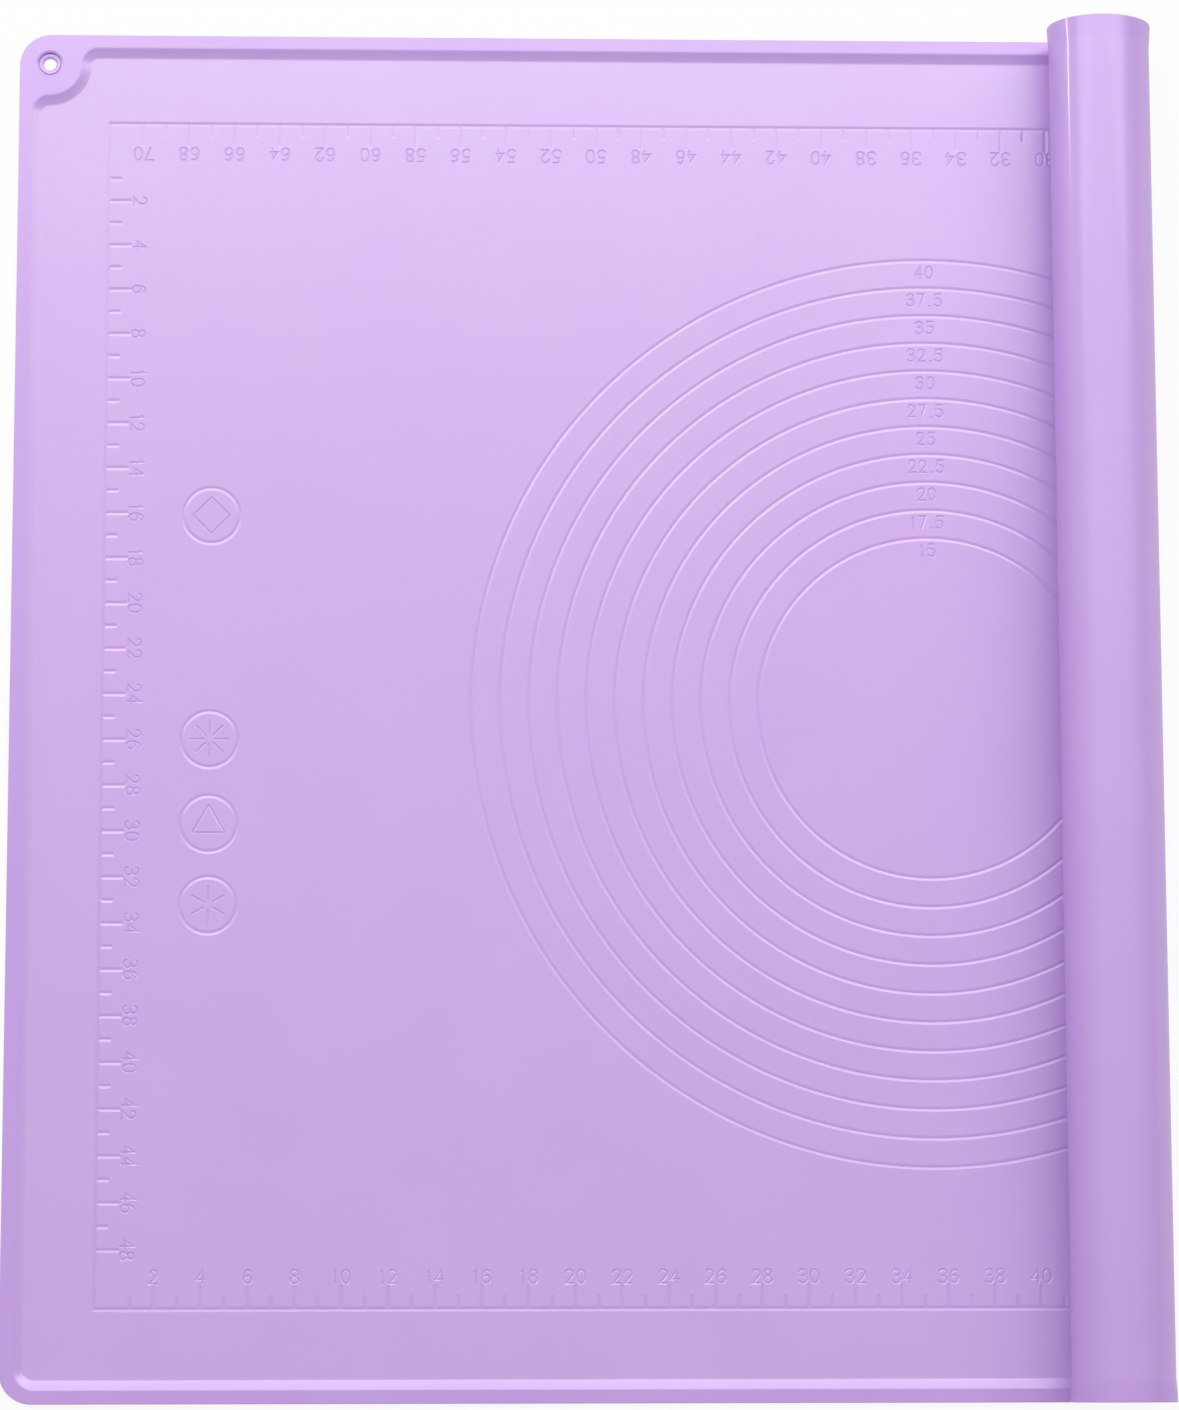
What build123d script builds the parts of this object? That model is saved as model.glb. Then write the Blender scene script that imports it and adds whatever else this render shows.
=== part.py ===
from build123d import *
import math
import os

# Flexible pastry and baking mat, moulded in one piece, lying face up with its right end rolled up.
# X runs along the mat, Y across it and Z up. The origin is on the table, under the middle of the
# rolled-up mat's outline. A place "along the mat" is measured on the back, from the left edge.

# Mat
mat_length = 800.0
mat_width = 600.0
sheet_thickness = 0.8
rim_height = 2.6
rim_band = 6.0
rim_slope = 4.0
outer_corner_radius = 14.0
inner_corner_radius = 5.0
corner_span = 36.0

# Hanging eyelet in the back left corner
eyelet_inset = 13.2
eyelet_hole_radius = 2.85
eyelet_recess_radius = 4.9
eyelet_recess_depth = 0.9
eyelet_pad_radius = 14.3
eyelet_blend_radius = 3.0

# Guide marks, pressed into the work face
mark_width = 1.6
mark_depth = 0.35
frame_margin = 40.0
mark_pitch = 10.0
short_mark = 5.0
long_mark = 9.5
length_scale_end = 700.0
length_scale_inset = 5.0
width_scale_end = 480.0
width_scale_inset = 15.0
smallest_circle = 150.0
largest_circle = 400.0
circle_step = 25.0

# Rolled end: strips across the moulding, each bent to the roll and turning on the last one's back edge,
# with a hairline between them so that neighbours never share a face
bed_length = 475.0
roll_radius = 23.8
roll_clearance = 0.4
strip_count = 52
hinge_gap = 0.02

# Overrun of a cut past the faces that it opens
overrun = 1.0

# The roll tightens by one pitch a turn
roll_pitch = rim_height + roll_clearance
strip_length = (mat_length - bed_length - rim_band) / (strip_count - 1 / 2)
root_length = strip_length / 2


def bend_radius(along):
    """Radius of the back face at a place along the rolled end, so that each turn clears the one outside it."""
    return math.sqrt(roll_radius**2 - roll_pitch * along / math.pi)


def opening(rise_run):
    """Outline of the tray inside the rim, at a run outwards from the foot of the slope."""
    inset = rim_band + rim_slope - rise_run
    eyelet = Pos(-mat_length / 2 + eyelet_inset, mat_width / 2 - eyelet_inset)
    tray = Rectangle(mat_length - 2 * inset, mat_width - 2 * inset)
    square_corners = tray.vertices().sort_by_distance((-mat_length, mat_width))[1:]
    tray = fillet(square_corners, inner_corner_radius + rise_run)
    tray -= eyelet * Circle(eyelet_pad_radius + rim_slope - rise_run)
    pad_corners = tray.vertices().sort_by_distance((-mat_length, mat_width))[:2]
    return fillet(pad_corners, eyelet_blend_radius + rise_run)


def outline():
    return RectangleRounded(mat_length, mat_width, outer_corner_radius)


# The flat moulding, with its middle at the origin
tray_space = loft(
    [
        Pos(0, 0, sheet_thickness) * opening(0),
        Pos(0, 0, rim_height) * opening(rim_slope),
    ],
    ruled=True,
)
tray_through = (
    Pos(0, 0, -overrun) * extrude(opening(0), amount=overrun + sheet_thickness)
    + tray_space
    + Pos(0, 0, rim_height) * extrude(opening(rim_slope), amount=overrun)
)
outline_through = Pos(0, 0, -overrun) * extrude(outline(), amount=rim_height + 2 * overrun)
flat_rim = extrude(outline(), amount=rim_height) - tray_through
flat_sheet = extrude(opening(0), amount=sheet_thickness)

# The hole goes right through the corner pad, with a wider recess round it in the top
eyelet_place = Pos(-mat_length / 2 + eyelet_inset, mat_width / 2 - eyelet_inset)
eyelet_hole = extrude(Circle(eyelet_hole_radius), amount=rim_height)
eyelet_recess = Pos(0, 0, rim_height - eyelet_recess_depth) * extrude(
    Circle(eyelet_recess_radius), amount=eyelet_recess_depth
)
flat_rim -= eyelet_place * eyelet_hole
flat_rim -= eyelet_place * eyelet_recess


def scale(last, first_place, length, long_ticks, short_ticks):
    """A scale's line along X with its ticks on the +Y side, every second one long."""
    line = Rectangle(length + mark_width, mark_width)
    ticks = []
    for number in range(1, int(last / mark_pitch) + 1):
        reach = short_ticks if number % 2 else long_ticks
        tick = Rectangle(mark_width, reach, align=(Align.CENTER, Align.MIN))
        ticks.append(Pos(-length / 2 + first_place + number * mark_pitch, 0) * tick)
    return [line] + ticks


def guide_marks():
    """Baking circles and the four scales of the frame round them, alike after half a turn."""
    frame_length = mat_length - 2 * frame_margin
    frame_width = mat_width - 2 * frame_margin
    marks = []
    for number in range(round((largest_circle - smallest_circle) / circle_step) + 1):
        radius = (smallest_circle + number * circle_step) / 2
        marks.append(Circle(radius + mark_width / 2) - Circle(radius - mark_width / 2))
    long_side = scale(length_scale_end, length_scale_inset, frame_length, long_mark, short_mark)
    short_side = scale(width_scale_end, width_scale_inset, frame_width, long_mark, short_mark)
    for turn in (0, 180):
        marks += [Rot(0, 0, turn) * Pos(0, -frame_width / 2) * mark for mark in long_side]
        marks += [Rot(0, 0, turn - 90) * Pos(0, -frame_length / 2) * mark for mark in short_side]
    return marks


def cut_piece(flat, start, end, front, back):
    """The part of a flat solid between two places along the mat and two across it."""
    window = Box(end - start, back - front, rim_height, align=Align.MIN)
    return flat & Pos(start - mat_length / 2, front, 0) * window


pieces = {}

# The flat bed and the rim round it, up to where the mat leaves the table
half_width = mat_width / 2
bed_sheet = cut_piece(flat_sheet, 0, bed_length, -half_width, half_width)
reached = bed_length - mat_length / 2 + mark_width
grooves = [
    Pos(0, 0, sheet_thickness - mark_depth) * extrude(mark, amount=mark_depth)
    for mark in guide_marks()
    if mark.bounding_box().min.X < reached
]
bed_sheet -= grooves
pieces["bed_sheet"] = bed_sheet
corner_start = half_width - corner_span
pieces["rim_left"] = cut_piece(flat_rim, 0, corner_span, -corner_start, corner_start)
pieces["corner_eyelet"] = cut_piece(flat_rim, 0, corner_span, corner_start, half_width)
pieces["corner_front"] = cut_piece(flat_rim, 0, corner_span, -half_width, -corner_start)
pieces["rim_back"] = cut_piece(flat_rim, corner_span, bed_length, 0, half_width)
pieces["rim_front"] = cut_piece(flat_rim, corner_span, bed_length, -half_width, 0)
pieces = {name: Pos(mat_length / 2, 0, 0) * piece for name, piece in pieces.items()}

# The rolled end
strip_section = Plane.YZ * Polygon(
    (-half_width, 0),
    (half_width, 0),
    (half_width, rim_height),
    (half_width - rim_band, rim_height),
    (half_width - rim_band - rim_slope, sheet_thickness),
    (-half_width + rim_band + rim_slope, sheet_thickness),
    (-half_width + rim_band, rim_height),
    (-half_width, rim_height),
    align=None,
)
end_zone = max(outer_corner_radius, rim_band + rim_slope + inner_corner_radius)


def bent(section, radius, bend):
    """A section in the YZ plane swept along a bend that starts at the origin and rises from X to Z."""
    return revolve(section, Axis((0, 0, radius), (0, -1, 0)), revolution_arc=bend)


def end_strip(radius, bend, middle):
    """A strip that reaches the mat's right end, with its share of the end rim and the rounded corners."""
    sheet = Plane.YZ * Pos(0, sheet_thickness / 2) * Rectangle(mat_width, sheet_thickness)
    block = Plane.YZ * Pos(0, rim_height / 2) * Rectangle(mat_width, rim_height)
    tangent_plane = (
        Pos(0, 0, radius)
        * Rot(0, -bend / 2, 0)
        * Pos(mat_length / 2 - middle, 0, -radius)
    )
    rim = bent(block, radius, bend) - tangent_plane * tray_through
    return (bent(sheet, radius, bend) + rim) & tangent_plane * outline_through


along = 0.0
place = Pos(bed_length, 0, 0)
lengths = [root_length] + [strip_length] * (strip_count - 1) + [rim_band]
for number, length in enumerate(lengths):
    radius = bend_radius(along + length / 2)
    bend = math.degrees(length / radius)
    solid_bend = math.degrees((length - hinge_gap) / radius)
    if bed_length + along + length > mat_length - end_zone:
        strip = end_strip(radius, solid_bend, bed_length + along + length / 2)
    else:
        strip = bent(strip_section, radius, solid_bend)
    pieces[f"roll_strip_{number:02d}" if number else "roll_root"] = place * strip
    place = place * Pos(0, 0, radius) * Rot(0, -bend, 0) * Pos(0, 0, -radius)
    along += length

# The pieces so far start at X = 0, and the origin lies halfway to the roll's right side
right_side = max(piece.bounding_box().max.X for piece in pieces.values())
os.makedirs("parts", exist_ok=True)
for name, piece in pieces.items():
    export_step((Pos(-right_side / 2, 0, 0) * piece).solid(), f"parts/{name}.step")
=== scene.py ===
import math

import bpy
import numpy as np
from mathutils import Matrix, Vector
from mathutils.geometry import delaunay_2d_cdt


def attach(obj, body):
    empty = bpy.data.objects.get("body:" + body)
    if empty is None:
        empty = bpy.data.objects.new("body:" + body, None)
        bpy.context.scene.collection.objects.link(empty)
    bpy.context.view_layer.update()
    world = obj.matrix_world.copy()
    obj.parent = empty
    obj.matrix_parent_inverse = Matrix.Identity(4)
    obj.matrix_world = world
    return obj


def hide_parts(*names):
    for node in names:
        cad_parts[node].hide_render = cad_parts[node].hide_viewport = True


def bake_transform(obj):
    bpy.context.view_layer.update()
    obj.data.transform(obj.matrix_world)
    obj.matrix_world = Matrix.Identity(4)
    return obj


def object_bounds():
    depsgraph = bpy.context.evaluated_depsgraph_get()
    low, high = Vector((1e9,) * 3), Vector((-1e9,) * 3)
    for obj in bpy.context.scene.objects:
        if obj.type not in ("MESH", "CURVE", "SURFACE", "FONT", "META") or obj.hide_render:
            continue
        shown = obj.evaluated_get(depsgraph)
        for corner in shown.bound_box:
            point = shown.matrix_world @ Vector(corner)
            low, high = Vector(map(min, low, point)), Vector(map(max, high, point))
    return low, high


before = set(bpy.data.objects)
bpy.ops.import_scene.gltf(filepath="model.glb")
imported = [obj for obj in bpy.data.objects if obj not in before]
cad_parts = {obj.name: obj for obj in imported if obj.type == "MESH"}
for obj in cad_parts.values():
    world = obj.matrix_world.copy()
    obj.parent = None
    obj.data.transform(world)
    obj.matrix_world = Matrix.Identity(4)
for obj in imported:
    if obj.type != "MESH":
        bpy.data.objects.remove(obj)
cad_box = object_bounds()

# The moulding. One sheet of soft silicone, cast in a mould: a thin work face inside a raised rim
# with a sloped inner side, and a pad in the back left corner with an eyelet through it. It is
# first made flat, in millimetres from its middle, with its back at Z = 0.
mat_length = 800
mat_width = 600
half_length, half_width = mat_length / 2, mat_width / 2
sheet_thickness = 0.8
rim_height = 2.6
rim_band = 6
rim_slope = 4
foot_inset = rim_band + rim_slope
outer_corner_radius = 14
inner_corner_radius = 5
edge_rounding = 0.35
slope_rounding = 0.5
eyelet_inset = 13.2
eyelet = np.array([-half_length + eyelet_inset, half_width - eyelet_inset])
hole_radius = 2.85
pad_radius = 14.3
pad_reach = pad_radius + rim_slope
blend_radius = 3

# How far the pad drops at distances from the eyelet's middle: chamfer, recess, groove and lip
eyelet_reaches = [hole_radius, 3.45, 4.4, 4.5, 5.1, 5.25, 6.1]
eyelet_drops = [1.2, 0.8, 0.75, 1.5, 1.5, 0.35, 0]

# Middles of the two fillets that run from the rim's straight sides into the corner pad
fillet_inset = foot_inset + blend_radius
fillet_run = math.sqrt((pad_reach + blend_radius) ** 2 - (fillet_inset - eyelet_inset) ** 2)
left_fillet = np.array([-half_length + fillet_inset, eyelet[1] - fillet_run])
back_fillet = np.array([eyelet[0] + fillet_run, half_width - fillet_inset])


def arc(middle, radius, start, end, step=5):
    angles = np.radians(np.linspace(start, end, max(2, round(abs(end - start) / step) + 1)))
    return np.array(middle) + radius * np.column_stack([np.cos(angles), np.sin(angles)])


def distance(points, middle):
    return np.hypot(*(points - middle).T)


def rounded_corners(inset, radius, turns=(90, 0, -90, -180)):
    """Corner arcs of the mat's rectangle, clockwise from the back right one."""
    x, y = half_length - inset - radius, half_width - inset - radius
    middles = {90: (x, y), 0: (x, -y), -90: (-x, -y), -180: (-x, y)}
    return [arc(middles[turn], radius, turn, turn - 90) for turn in turns]


def outline(inset):
    return np.vstack(rounded_corners(inset, outer_corner_radius - inset))


def rim_line(run):
    """Closed line round the tray, at a run up the rim's slope from its foot."""
    corners = rounded_corners(foot_inset - run, inner_corner_radius + run, (90, 0, -90))
    into_pad = arc(left_fillet, blend_radius + run, 180, 90, 10)
    round_pad = arc(eyelet, pad_reach - run, -90, 0, 6)
    out_of_pad = arc(back_fillet, blend_radius + run, 180, 90, 10)
    return np.vstack([into_pad, round_pad, out_of_pad, *corners])


def past_rectangle(points, inset, radius):
    """How far points lie outside the mat's rectangle at an inset, with rounded corners."""
    past = np.abs(points) - (np.array([half_length, half_width]) - inset - radius)
    return np.hypot(*np.maximum(past, 0).T) + np.minimum(past.max(axis=1), 0) - radius


def inside_outline(points):
    return -past_rectangle(points, 0, outer_corner_radius)


def up_slope(points):
    """How far points lie outside the foot of the rim's slope."""
    x, y = points.T
    by_pad = (x < back_fillet[0]) & (y > left_fillet[1])
    by_left = by_pad & (x < left_fillet[0])
    by_back = by_pad & (y > back_fillet[1])
    run = past_rectangle(points, foot_inset, inner_corner_radius)
    run = np.where(by_pad, pad_reach - distance(points, eyelet), run)
    run = np.where(by_left, distance(points, left_fillet) - blend_radius, run)
    return np.where(by_back, distance(points, back_fillet) - blend_radius, run)


def eased(x, reach):
    """Zero before x = 0 and x after it, with the corner rounded over a reach to both sides."""
    return np.where(np.abs(x) < reach, (x + reach) ** 2 / (4 * reach), np.maximum(x, 0))


def edge_drop(inset):
    """How far the rounded edge falls short of the flat face."""
    short = edge_rounding - np.clip(inset, 0, edge_rounding)
    return edge_rounding - np.sqrt(edge_rounding**2 - short**2)


# Guide marks. The scales, baking circles, numbers and ring motifs are thin raised lines in the
# mould, so they come out as shallow grooves in the work face. The numbers' strokes are finer.
line_width = 2.3
line_depth = 0.21
digit_width = 1.15
digit_depth = 0.24
mark_floor = 0.2
frame_margin = 40
tick_pitch = 10
short_mark = 5
long_mark = 9.5
number_height = 5.8
number_distance = 13.6
smallest_circle = 150
circle_step = 25
circle_count = 11
label_height = 5.4
motif_ring_radius = 12.2
motif_reach = 8

# Strokes of each sign, in hundredths of its width and height
digits = {
    "0": [
        [(50, 0), (22, 8), (5, 30), (5, 70), (22, 92), (50, 100)]
        + [(78, 92), (95, 70), (95, 30), (78, 8), (50, 0)]
    ],
    "1": [[(25, 80), (55, 100), (55, 0)]],
    "2": [[(5, 74), (15, 92), (40, 100), (68, 97), (90, 82), (90, 62), (72, 42), (5, 0), (97, 0)]],
    "3": [
        [(5, 84), (28, 99), (65, 99), (88, 85), (88, 65), (65, 53), (38, 53)],
        [(65, 53), (92, 42), (97, 22), (80, 4), (48, 0), (18, 3), (3, 17)],
    ],
    "4": [[(76, 0), (76, 100), (3, 30), (98, 30)]],
    "5": [
        [(88, 100), (18, 100), (10, 56), (38, 64), (70, 60)]
        + [(94, 42), (94, 20), (72, 3), (38, 0), (5, 13)]
    ],
    "6": [
        [(84, 90), (56, 100), (28, 90), (8, 62), (5, 30), (20, 7)]
        + [(50, 0), (80, 7), (96, 28), (86, 50), (55, 60), (22, 52), (8, 36)]
    ],
    "7": [[(3, 100), (97, 100), (38, 0)]],
    "8": [
        [(50, 54), (20, 62), (10, 80), (25, 97), (50, 100), (75, 97), (90, 80), (80, 62)]
        + [(50, 54), (14, 42), (3, 22), (20, 4), (50, 0), (80, 4), (97, 22), (86, 42), (50, 54)]
    ],
    "9": [
        [(16, 10), (44, 0), (72, 10), (92, 38), (95, 70), (80, 93)]
        + [(50, 100), (20, 93), (4, 72), (14, 50), (45, 40), (78, 48), (92, 64)]
    ],
    ".": [[(42, 2), (58, 2)]],
}

# Widths of the signs and of the gap between them, for a height of 1
digit_widths = dict.fromkeys("023456789", 0.62) | {"1": 0.42, ".": 0.3}
digit_gap = 0.24


def turned(points, degrees):
    c, s = math.cos(math.radians(degrees)), math.sin(math.radians(degrees))
    return np.array(points, float) @ np.array([[c, s], [-s, c]])


def number(text, middle, height):
    """Strokes of a number, upright round a middle."""
    widths = [digit_widths[sign] * height for sign in text]
    gap = digit_gap * height
    x = middle[0] - (sum(widths) + gap * (len(text) - 1)) / 2
    y = middle[1] - height / 2
    strokes = []
    for sign, width in zip(text, widths):
        strokes += [np.array(stroke) / 100 * (width, height) + (x, y) for stroke in digits[sign]]
        x += width + gap
    return strokes


def scale(length, last, first_place):
    """A scale's line along X, with its ticks and numbers on the +Y side."""
    drawn = [np.array([(-length / 2, 0), (length / 2, 0)])]
    numbers = []
    for count in range(1, last + 1):
        x = -length / 2 + first_place + tick_pitch * count
        drawn.append(np.array([(x, 0), (x, short_mark if count % 2 else long_mark)]))
        if count % 2 == 0:
            numbers += number(str(count), (x, number_distance), number_height)
    return drawn, numbers


# The same two scales twice, alike after half a turn
lines, digit_strokes, rings = [], [], []
frame_length, frame_width = mat_length - 2 * frame_margin, mat_width - 2 * frame_margin
long_scale = scale(frame_length, 70, 5)
short_scale = scale(frame_width, 48, 15)
for turn in (0, 180):
    for kept, drawn in zip((lines, digit_strokes), long_scale):
        kept += [turned(stroke + (0, -frame_width / 2), turn) for stroke in drawn]
    for kept, drawn in zip((lines, digit_strokes), short_scale):
        kept += [turned(stroke + (0, -frame_length / 2), turn - 90) for stroke in drawn]
for size in range(circle_count):
    diameter = smallest_circle + circle_step * size
    rings.append(((0, 0), diameter / 2))
    label_place = (0, diameter / 2 - label_height)
    digit_strokes += number(f"{diameter / 10:g}", label_place, label_height)

# A plain geometric motif in each ring: a polygon of up to four sides, or a star of rays
motif_x = -313.5
for y, sides in ((84, 4), (-14.7, 8), (-51.6, 3), (-87, 6)):
    rings.append(((motif_x, y), motif_ring_radius))
    for side in range(sides):
        far = turned((0, motif_reach), 360 * side / sides)
        ray = (far * 0.3, far)
        polygon_side = (far, turned((0, motif_reach), 360 * (side + 1) / sides))
        digit_strokes.append(np.array(ray if sides > 4 else polygon_side) + (motif_x, y))

# Each group's strokes, with how wide and how deep they are pressed
stroke_groups = (lines, line_width, line_depth), (digit_strokes, digit_width, digit_depth)


def stroke_sides(points, reach):
    """Closed line round a stroke, at a reach from it, with round ends."""
    along = np.diff(points, axis=0)
    along /= np.hypot(*along.T)[:, None]
    across = np.column_stack([-along[:, 1], along[:, 0]])
    mitre = (across[:-1] + across[1:]) / (1 + (across[:-1] * across[1:]).sum(axis=1))[:, None]
    offsets = reach * np.vstack([across[:1], mitre, across[-1:]])
    ends = []
    for tip, outward in ((points[-1], along[-1]), (points[0], -along[0])):
        heading = math.degrees(math.atan2(outward[1], outward[0]))
        ends.append(arc(tip, reach, heading + 45, heading - 45, 45))
    return np.vstack([points + offsets, ends[0], (points - offsets)[::-1], ends[1]])


def groove_depth(reach, width, depth):
    """Depth of a groove with sloped sides and a narrow floor, at a reach from its middle."""
    return depth * np.clip((width / 2 - reach) / (width - mark_floor) * 2, 0, 1)


def mark_depths(points):
    """How deep the marks are pressed at points."""
    depths = np.zeros(len(points))
    for middle, radius in rings:
        reach = np.abs(distance(points, middle) - radius)
        depths = np.maximum(depths, groove_depth(reach, line_width, line_depth))
    order = np.argsort(points[:, 0], kind="stable")
    xs = points[order, 0]
    for group, width, depth in stroke_groups:
        for a, b in [pair for stroke in group for pair in zip(stroke[:-1], stroke[1:])]:
            low, high = np.minimum(a, b) - width, np.maximum(a, b) + width
            near = order[np.searchsorted(xs, low[0]) : np.searchsorted(xs, high[0])]
            near = near[(points[near, 1] > low[1]) & (points[near, 1] < high[1])]
            ab, ap = b - a, points[near] - a
            share = np.clip(ap @ ab / (ab @ ab), 0, 1)
            reach = np.hypot(*(ap - share[:, None] * ab).T)
            depths[near] = np.maximum(depths[near], groove_depth(reach, width, depth))
    return depths


# The rolled end. The same silicone, rolled up loosely over its own face with the back outside.
# From bed_length on, the back follows arcs whose radius shrinks by one pitch a turn, one arc for
# each strip that the frame's hinges join.
bed_length = 475
roll_radius = 23.8
roll_clearance = 0.4
roll_pitch = rim_height + roll_clearance
strip_count = 52
strip_length = (mat_length - bed_length - rim_band) / (strip_count - 1 / 2)
arc_lengths = np.array([strip_length / 2] + [strip_length] * (strip_count - 1) + [rim_band])
arc_starts = bed_length + np.concatenate([[0], np.cumsum(arc_lengths)[:-1]])
arc_middles = arc_starts - bed_length + arc_lengths / 2
arc_radii = np.sqrt(roll_radius**2 - roll_pitch * arc_middles / math.pi)
arc_turns = np.concatenate([[0], np.cumsum(arc_lengths / arc_radii)])
arc_places = [np.array([bed_length, 0.0])]
for radius, before, after in zip(arc_radii, arc_turns[:-1], arc_turns[1:]):
    step = (math.sin(after) - math.sin(before), math.cos(before) - math.cos(after))
    arc_places.append(arc_places[-1] + radius * np.array(step))
arc_places = np.array(arc_places)
left_edge = cad_box[0].x * 1000

# The stiff rims hold the roll's ends a little wider than its middle
waist = 0.45
flare = 0.45
waist_run = 50
flare_run = 14


def eased_in(x):
    x = np.clip(x, 0, 1)
    return x * x * (3 - 2 * x)


def rolled(points, height):
    """Places in the frame, in metres, and turning angles of points of the flat moulding."""
    along = points[:, 0] + half_length
    y = points[:, 1]
    in_flare = eased_in((np.abs(y) - (half_width - flare_run)) / flare_run)
    in_roll = eased_in((along - bed_length) / waist_run)
    height = height + in_roll * (waist - (waist + flare) * in_flare)
    k = np.clip(np.searchsorted(arc_starts, along, side="right") - 1, 0, len(arc_radii) - 1)
    turn = np.where(along > bed_length, arc_turns[k] + (along - arc_starts[k]) / arc_radii[k], 0)
    x = arc_places[k, 0] + arc_radii[k] * (np.sin(turn) - np.sin(arc_turns[k]))
    z = arc_places[k, 1] + arc_radii[k] * (np.cos(arc_turns[k]) - np.cos(turn))
    x = np.where(along > bed_length, x, along) - height * np.sin(turn) + left_edge
    z = np.where(along > bed_length, z, 0) + height * np.cos(turn)
    return np.column_stack([x, y, z]) / 1000, turn


# The skin. The work face, the back and the thin walls between them are one closed surface of the
# silicone, laid out flat. Both faces share the outline, the eyelet's hole and the lines across
# the mat at which it is divided.
steps_per_strip = 4
overrun = 5
step_length = strip_length / steps_per_strip
step_count = math.ceil((mat_length - bed_length) / step_length)
across_lines = bed_length + step_length * np.arange(step_count)


def face_mesh(closed_lines, height_at):
    """Triangles that follow closed lines, inside the outline and outside the hole."""
    points, edges = [], []
    for line in closed_lines:
        first = len(points)
        points += [tuple(point) for point in line]
        edges += [(first + i, first + (i + 1) % len(line)) for i in range(len(line))]
    for along in across_lines:
        x = along - half_length
        points += [(x, -half_width - overrun), (x, half_width + overrun)]
        edges.append((len(points) - 2, len(points) - 1))
    vectors = [Vector(point) for point in points]
    flat, _, faces, *_ = delaunay_2d_cdt(vectors, edges, [], 0, 1e-5, False)
    flat = np.array([tuple(point) for point in flat])
    faces = np.array(faces)
    middles = flat[faces].mean(axis=1)
    kept = (inside_outline(middles) > 0) & (distance(middles, eyelet) > hole_radius * 0.999)
    return flat, faces[kept], height_at(flat)


def work_face_height(points):
    run = up_slope(points)
    rise = (rim_height - sheet_thickness) / rim_slope
    risen = rise * (eased(run, slope_rounding) - eased(run - rim_slope, slope_rounding))
    height = sheet_thickness + risen
    height -= np.interp(distance(points, eyelet), eyelet_reaches, eyelet_drops)
    height -= np.where(run < -slope_rounding, mark_depths(points), 0)
    return height - edge_drop(inside_outline(points))


def back_height(points):
    return edge_drop(inside_outline(points))


def boundary(faces):
    """Edges that only one triangle has."""
    edges = {}
    for a, b, c in faces:
        for edge in ((a, b), (b, c), (c, a)):
            key = (min(edge), max(edge))
            edges[key] = None if key in edges else edge
    return [edge for edge in edges.values() if edge]


# Lines where the surface bends: rounded edges, the eyelet's steps, the slope and the marks' sides
shared_lines = [outline(inset) for inset in (0, edge_rounding * 0.35, edge_rounding)]
shared_lines.append(arc(eyelet, hole_radius, 0, 350, 10))
face_lines = shared_lines + [arc(eyelet, reach, 0, 352, 8) for reach in eyelet_reaches[1:]]
for run in (-1, -0.4, 0.4, 1):
    face_lines.append(rim_line(run * slope_rounding))
    face_lines.append(rim_line(run * slope_rounding + rim_slope))
for group, width, _ in stroke_groups:
    for reach in (width / 2, mark_floor / 2):
        face_lines += [stroke_sides(stroke, reach) for stroke in group]
for middle, radius in rings:
    angle_step = 7.5 if radius == motif_ring_radius else 2
    for reach in (-line_width / 2, -mark_floor / 2, mark_floor / 2, line_width / 2):
        face_lines.append(arc(middle, radius + reach, 0, 360 - angle_step, angle_step))
top, top_faces, top_heights = face_mesh(face_lines, work_face_height)
back_lines = shared_lines + [rim_line(0), rim_line(rim_slope)]
back, back_faces, back_heights = face_mesh(back_lines, back_height)

# Walls join the two faces round the outline and through the hole
back_at = {tuple(np.round(point, 2)): i for i, point in enumerate(back)}
walls = []
for a, b in boundary(top_faces):
    low_a, low_b = (back_at[tuple(np.round(top[i], 2))] for i in (a, b))
    walls.append((b, a, low_a + len(top), low_b + len(top)))
flat = np.vstack([top, back])
heights = np.concatenate([top_heights, back_heights])
faces = [tuple(face) for face in top_faces]
faces += [tuple(face[::-1] + len(top)) for face in back_faces] + walls
is_back = np.arange(len(faces)) >= len(top_faces)

# Each face's normal on the flat moulding, which turns with the roll
solid = np.column_stack([flat, heights])
starts = np.array([solid[list(face[:3])] for face in faces])
face_normals = np.cross(starts[:, 1] - starts[:, 0], starts[:, 2] - starts[:, 0])
face_normals /= np.linalg.norm(face_normals, axis=1)[:, None]
places, turns = rolled(flat, heights)

# How thick the silicone looks: its real thickness on the work face, as thick as the rim on the
# back, where turns of the roll lie behind it, and half as thick again where the rim is. On the
# work face it also carries how deep the marks are pressed in, which the shader turns into
# painted shade in their grooves.
on_rim = np.clip(up_slope(back) / rim_slope, 0, 1)
thickness_at = np.concatenate([top_heights, rim_height * (1 + 0.5 * on_rim)])


# The silicone. Lavender and slightly translucent, satin on the work face, where the mould is
# matt, and smoother and glossier on the back. Thick places and faint clouds are deeper in
# colour, and the pressed-in marks get painted shade in their grooves, deeper in colour still.
class Socket:
    """A node's output that takes part in sums."""

    def __init__(self, tree, link):
        self.tree, self.link = tree, link

    def node(self, kind, settings=None, **inputs):
        """A new node in the same tree. An input is given by its name, or by its place, as in _0."""
        made = self.tree.nodes.new(kind)
        for name, value in (settings or {}).items():
            setattr(made, name, value)
        for name, value in inputs.items():
            by_place = name[1:].isdigit()
            socket = made.inputs[int(name[1:]) if by_place else name.replace("_", " ")]
            if isinstance(value, Socket):
                self.tree.links.new(value.link, socket)
            else:
                socket.default_value = value
        return made

    def combine(self, operation, a, b):
        made = self.node("ShaderNodeMath", {"operation": operation}, _0=a, _1=b)
        return Socket(self.tree, made.outputs[0])

    def __add__(self, other):
        return self.combine("ADD", self, other)

    def __sub__(self, other):
        return self.combine("SUBTRACT", self, other)

    def __rsub__(self, other):
        return self.combine("SUBTRACT", other, self)

    def __mul__(self, other):
        return self.combine("MULTIPLY", self, other)

    __radd__ = __add__
    __rmul__ = __mul__


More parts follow.
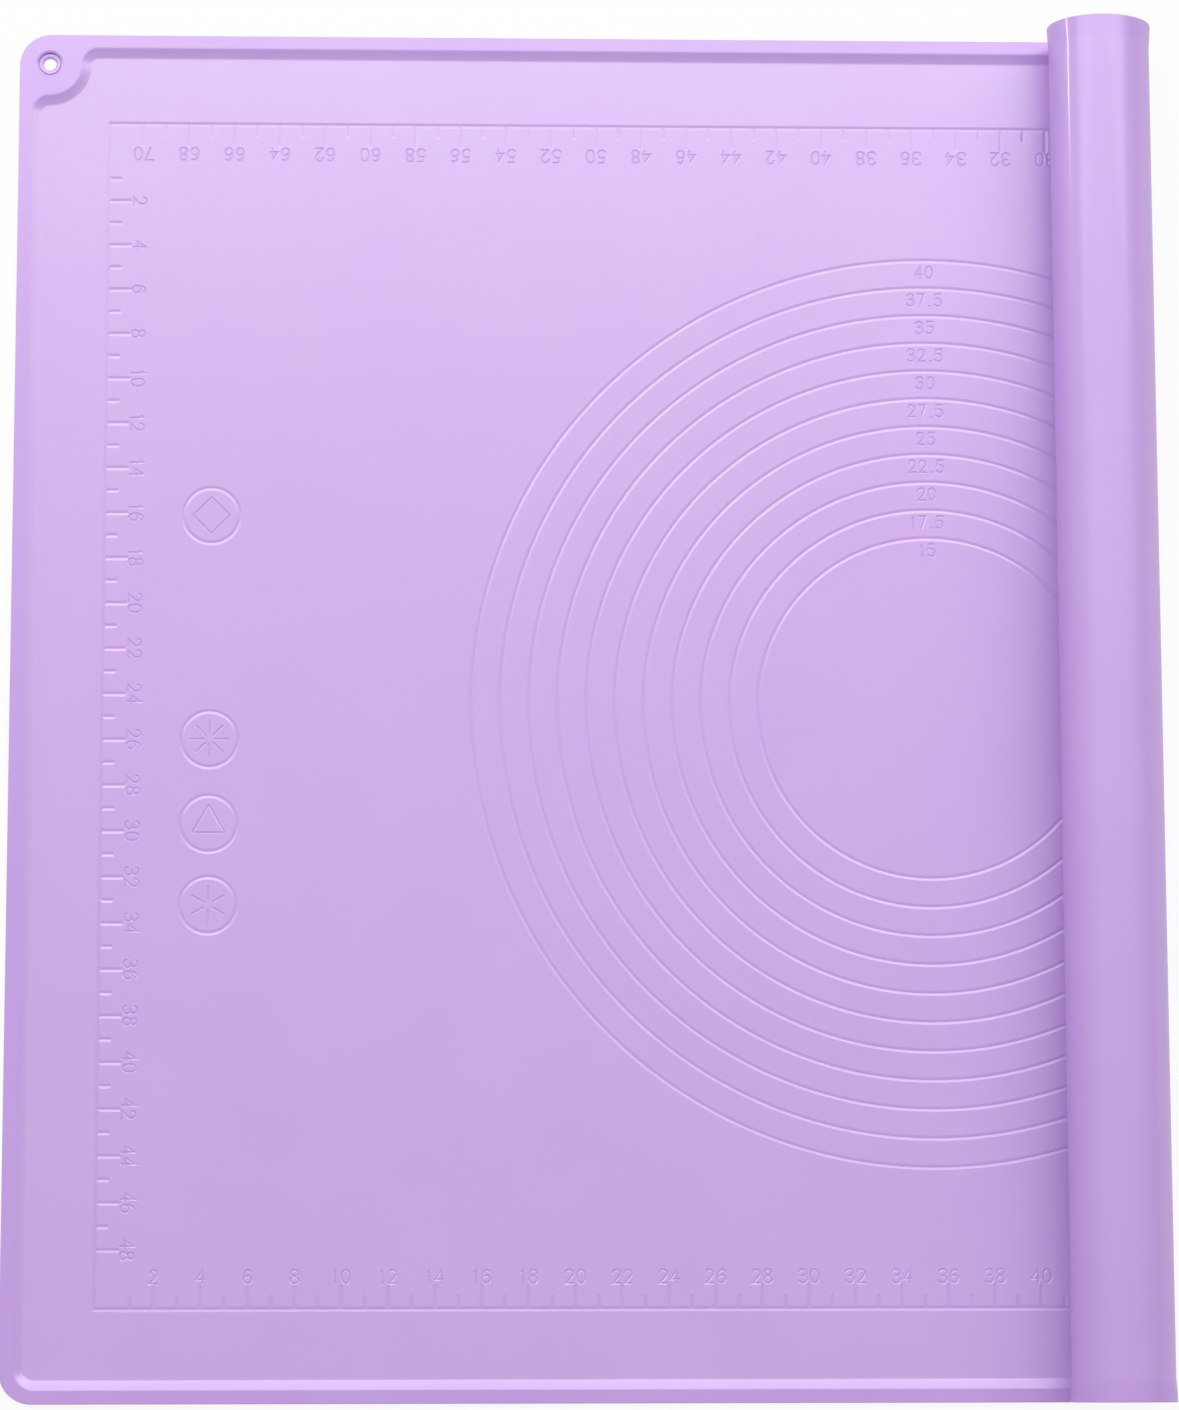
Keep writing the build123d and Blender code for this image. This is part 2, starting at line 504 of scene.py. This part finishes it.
def linear(red, green, blue):
    """A colour given as it looks on a screen, from 0 to 255."""
    return [((c / 255 + 0.055) / 1.055) ** 2.4 for c in (red, green, blue)] + [1]


def mixed(start, share, first, second):
    """The output of two shaders mixed by a share of the second."""
    first, second = (Socket(start.tree, shader.outputs[0]) for shader in (first, second))
    return start.node("ShaderNodeMixShader", _0=share, _1=first, _2=second).outputs[0]


def silicone(name, roughness, grain_strength, polish):
    material = bpy.data.materials.new(name)
    material.use_nodes = True
    tree = material.node_tree
    tree.nodes.clear()
    start = Socket(tree, None)
    place = Socket(tree, start.node("ShaderNodeTexCoord").outputs["Object"])
    clouds = start.node("ShaderNodeTexNoise", Vector=place, Scale=18, Detail=3)
    grains = start.node("ShaderNodeTexNoise", Vector=place, Scale=900, Detail=2)
    measure = start.node("ShaderNodeAttribute", {"attribute_name": "thickness"})
    cloud = Socket(tree, clouds.outputs["Fac"])
    grain = Socket(tree, grains.outputs["Fac"])
    thickness = Socket(tree, measure.outputs["Fac"])
    thick = (thickness - sheet_thickness) * (1 / (rim_height - sheet_thickness))
    # Painted shade: the marks' grooves, pressed in below the sheet, are deepened in colour
    pressed = start.combine("MAXIMUM", sheet_thickness - thickness, 0)
    tone_and_groove_shade = 0.55 * thick + 0.45 * cloud + 2.2 * pressed
    shades = {"_6": linear(220, 184, 245), "_7": linear(205, 161, 239)}
    colour = start.node("ShaderNodeMix", {"data_type": "RGBA"}, Factor=tone_and_groove_shade, **shades)
    bump = start.node("ShaderNodeBump", Strength=grain_strength, Distance=0.00005, Height=grain)
    surface = start.node(
        "ShaderNodeBsdfPrincipled",
        Base_Color=Socket(tree, colour.outputs[2]),
        Roughness=roughness + 0.06 * cloud,
        Normal=Socket(tree, bump.outputs[0]),
        IOR=1.56,
        Specular_IOR_Level=1.0,
        Coat_Weight=polish,
        Coat_Roughness=0.1,
    )
    glow = start.node("ShaderNodeBsdfTranslucent", Color=linear(205, 150, 250))
    output = start.node("ShaderNodeOutputMaterial")
    tree.links.new(mixed(start, 0.16, surface, glow), output.inputs["Surface"])
    return material


satin_face = silicone("satin_silicone", 0.28, 0.12, 0)
smooth_back = silicone("smooth_silicone", 0.4, 0.03, 0.25)


# The pieces. The flat bed, and one piece for each hinge of the rolled end. A piece runs between
# the middles of two neighbouring strips, so that the hinge between them is in its middle.
def mat_piece(name, wanted):
    """One piece of the moulding, rolled up, with the whole moulding's shading."""
    own_faces = [faces[i] for i in wanted]
    corners = np.concatenate(own_faces)
    used, places_in = np.unique(corners, return_inverse=True)
    mesh = bpy.data.meshes.new(name)
    loops, polygons = 0, []
    for face in own_faces:
        polygons.append(places_in[loops : loops + len(face)].tolist())
        loops += len(face)
    mesh.from_pydata(places[used].tolist(), [], polygons)
    x, y, z = np.repeat(face_normals[wanted], [len(face) for face in own_faces], axis=0).T
    c, s = np.cos(turns[corners]), np.sin(turns[corners])
    mesh.shade_smooth()
    mesh.normals_split_custom_set(np.column_stack([x * c - z * s, y, x * s + z * c]).tolist())
    thickness = mesh.attributes.new("thickness", "FLOAT", "POINT")
    thickness.data.foreach_set("value", thickness_at[used])
    mesh.materials.append(satin_face)
    mesh.materials.append(smooth_back)
    mesh.polygons.foreach_set("material_index", is_back[wanted].astype(np.int32))
    piece = bpy.data.objects.new(name, mesh)
    bpy.context.scene.collection.objects.link(piece)
    return piece


middles = np.array([flat[list(face), 0].mean() for face in faces]) + half_length
piece_of = np.floor((middles - bed_length) / strip_length) + 1
piece_of = np.clip(piece_of, 0, strip_count).astype(int)

bed = mat_piece("mat_bed", np.flatnonzero(piece_of == 0))
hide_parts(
    "bed_sheet", "rim_left", "rim_back", "rim_front",
    "corner_eyelet", "corner_front", "roll_root",
)
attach(bed, "bed")

blend_margin = 0.02
for hinge in range(1, strip_count + 1):
    piece = mat_piece(f"mat_roll_{hinge:02d}", np.flatnonzero(piece_of == hinge))
    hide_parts(f"roll_strip_{hinge:02d}")
    shares = np.array([hinge - 1 + blend_margin, hinge - blend_margin])
    ends = bed_length - half_length + strip_length * shares
    (start_at, end_at), _ = rolled(np.column_stack([ends, [0, 0]]), np.array([0, 0]))
    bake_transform(piece)

# Studio. A white paper sweep with white all round, three banks of soft light one above the other
# beyond the mat's back edge, and a small low lamp on the left that draws a streak on the roll.
# Paper and surroundings are at full strength for the camera, so that no horizon shows.
scene = bpy.context.scene
floor_reach = 30
floor_height = -0.0002
signs = ((-1, -1), (1, -1), (1, 1), (-1, 1))
floor_corners = [(x * floor_reach, y * floor_reach, floor_height) for x, y in signs]
floor_mesh = bpy.data.meshes.new("floor")
floor_mesh.from_pydata(floor_corners, [], [(0, 1, 2, 3)])
floor = bpy.data.objects.new("floor", floor_mesh)
scene.collection.objects.link(floor)
paper = bpy.data.materials.new("white_paper")
paper.use_nodes = True
tree = paper.node_tree
tree.nodes.clear()
start = Socket(tree, None)
rays = start.node("ShaderNodeLightPath").outputs
matt = start.node("ShaderNodeBsdfPrincipled", Base_Color=(0.8, 0.8, 0.8, 1), Roughness=0.9)
seen = Socket(tree, rays["Is Camera Ray"]) + Socket(tree, rays["Is Glossy Ray"])
seen = seen + Socket(tree, rays["Is Transmission Ray"])
white = start.node("ShaderNodeEmission", Color=(1, 1, 1, 1), Strength=1.0)
output = start.node("ShaderNodeOutputMaterial")
tree.links.new(mixed(start, 0.9 * seen, matt, white), output.inputs["Surface"])
floor_mesh.materials.append(paper)

world = bpy.data.worlds.new("studio")
scene.world = world
world.use_nodes = True
tree = world.node_tree
tree.nodes.clear()
start = Socket(tree, None)
straight = Socket(tree, start.node("ShaderNodeLightPath").outputs["Is Camera Ray"])
around = start.node("ShaderNodeBackground", Color=(1, 1, 1, 1), Strength=0.4 + 0.6 * straight)
tree.links.new(around.outputs[0], start.node("ShaderNodeOutputWorld").inputs["Surface"])


def lamp(name, place, width, height, power, aim=(0, 0, 0), colour=(1, 1, 1)):
    light = bpy.data.lights.new(name, "AREA")
    light.shape = "RECTANGLE"
    light.size, light.size_y = width, height
    light.energy, light.color = power, colour
    made = bpy.data.objects.new(name, light)
    made.location = place
    made.rotation_euler = (Vector(aim) - Vector(place)).to_track_quat("-Z", "Y").to_euler()
    scene.collection.objects.link(made)


lamp("high_bank", (0, 1.41, 2.65), 7, 0.63, 67, colour=(0.97, 1, 0.88))
lamp("soft_box", (0, 1.97, 2.26), 7, 0.74, 48)
lamp("low_bank", (0, 2.8, 1.08), 4, 0.74, 12)
lamp("strip_lamp", (-2.8, 1.2, 0.45), 0.2, 0.2, 7, aim=(0.25, 0.28, 0))

# The camera looks down from in front of the mat's middle and a little left of it, where the
# photograph was taken. Its angle of view is half the picture's height over the focal length,
# both in pixels.
half_picture = 705
focal_length = 4581.7
mat_middle = Vector(((left_edge + half_length) / 1000, 0, sheet_thickness / 1000))
forward, up = Vector((0.0329, 0.1478, -0.9885)).normalized(), Vector((-0.0027, 0.989, 0.1478))
right = forward.cross(up).normalized()
up = right.cross(forward)
lens = bpy.data.cameras.new("camera")
lens.sensor_fit = "VERTICAL"
lens.angle_y = 2 * math.atan(half_picture / focal_length)
lens.clip_end = 100
camera = bpy.data.objects.new("camera", lens)
place = Matrix.Translation(mat_middle + Vector((-0.2141, -0.2942, 1.9722)))
camera.matrix_world = place @ Matrix((right, up, -forward)).transposed().to_4x4()
scene.collection.objects.link(camera)
scene.camera = camera
scene.view_settings.view_transform = "Standard"
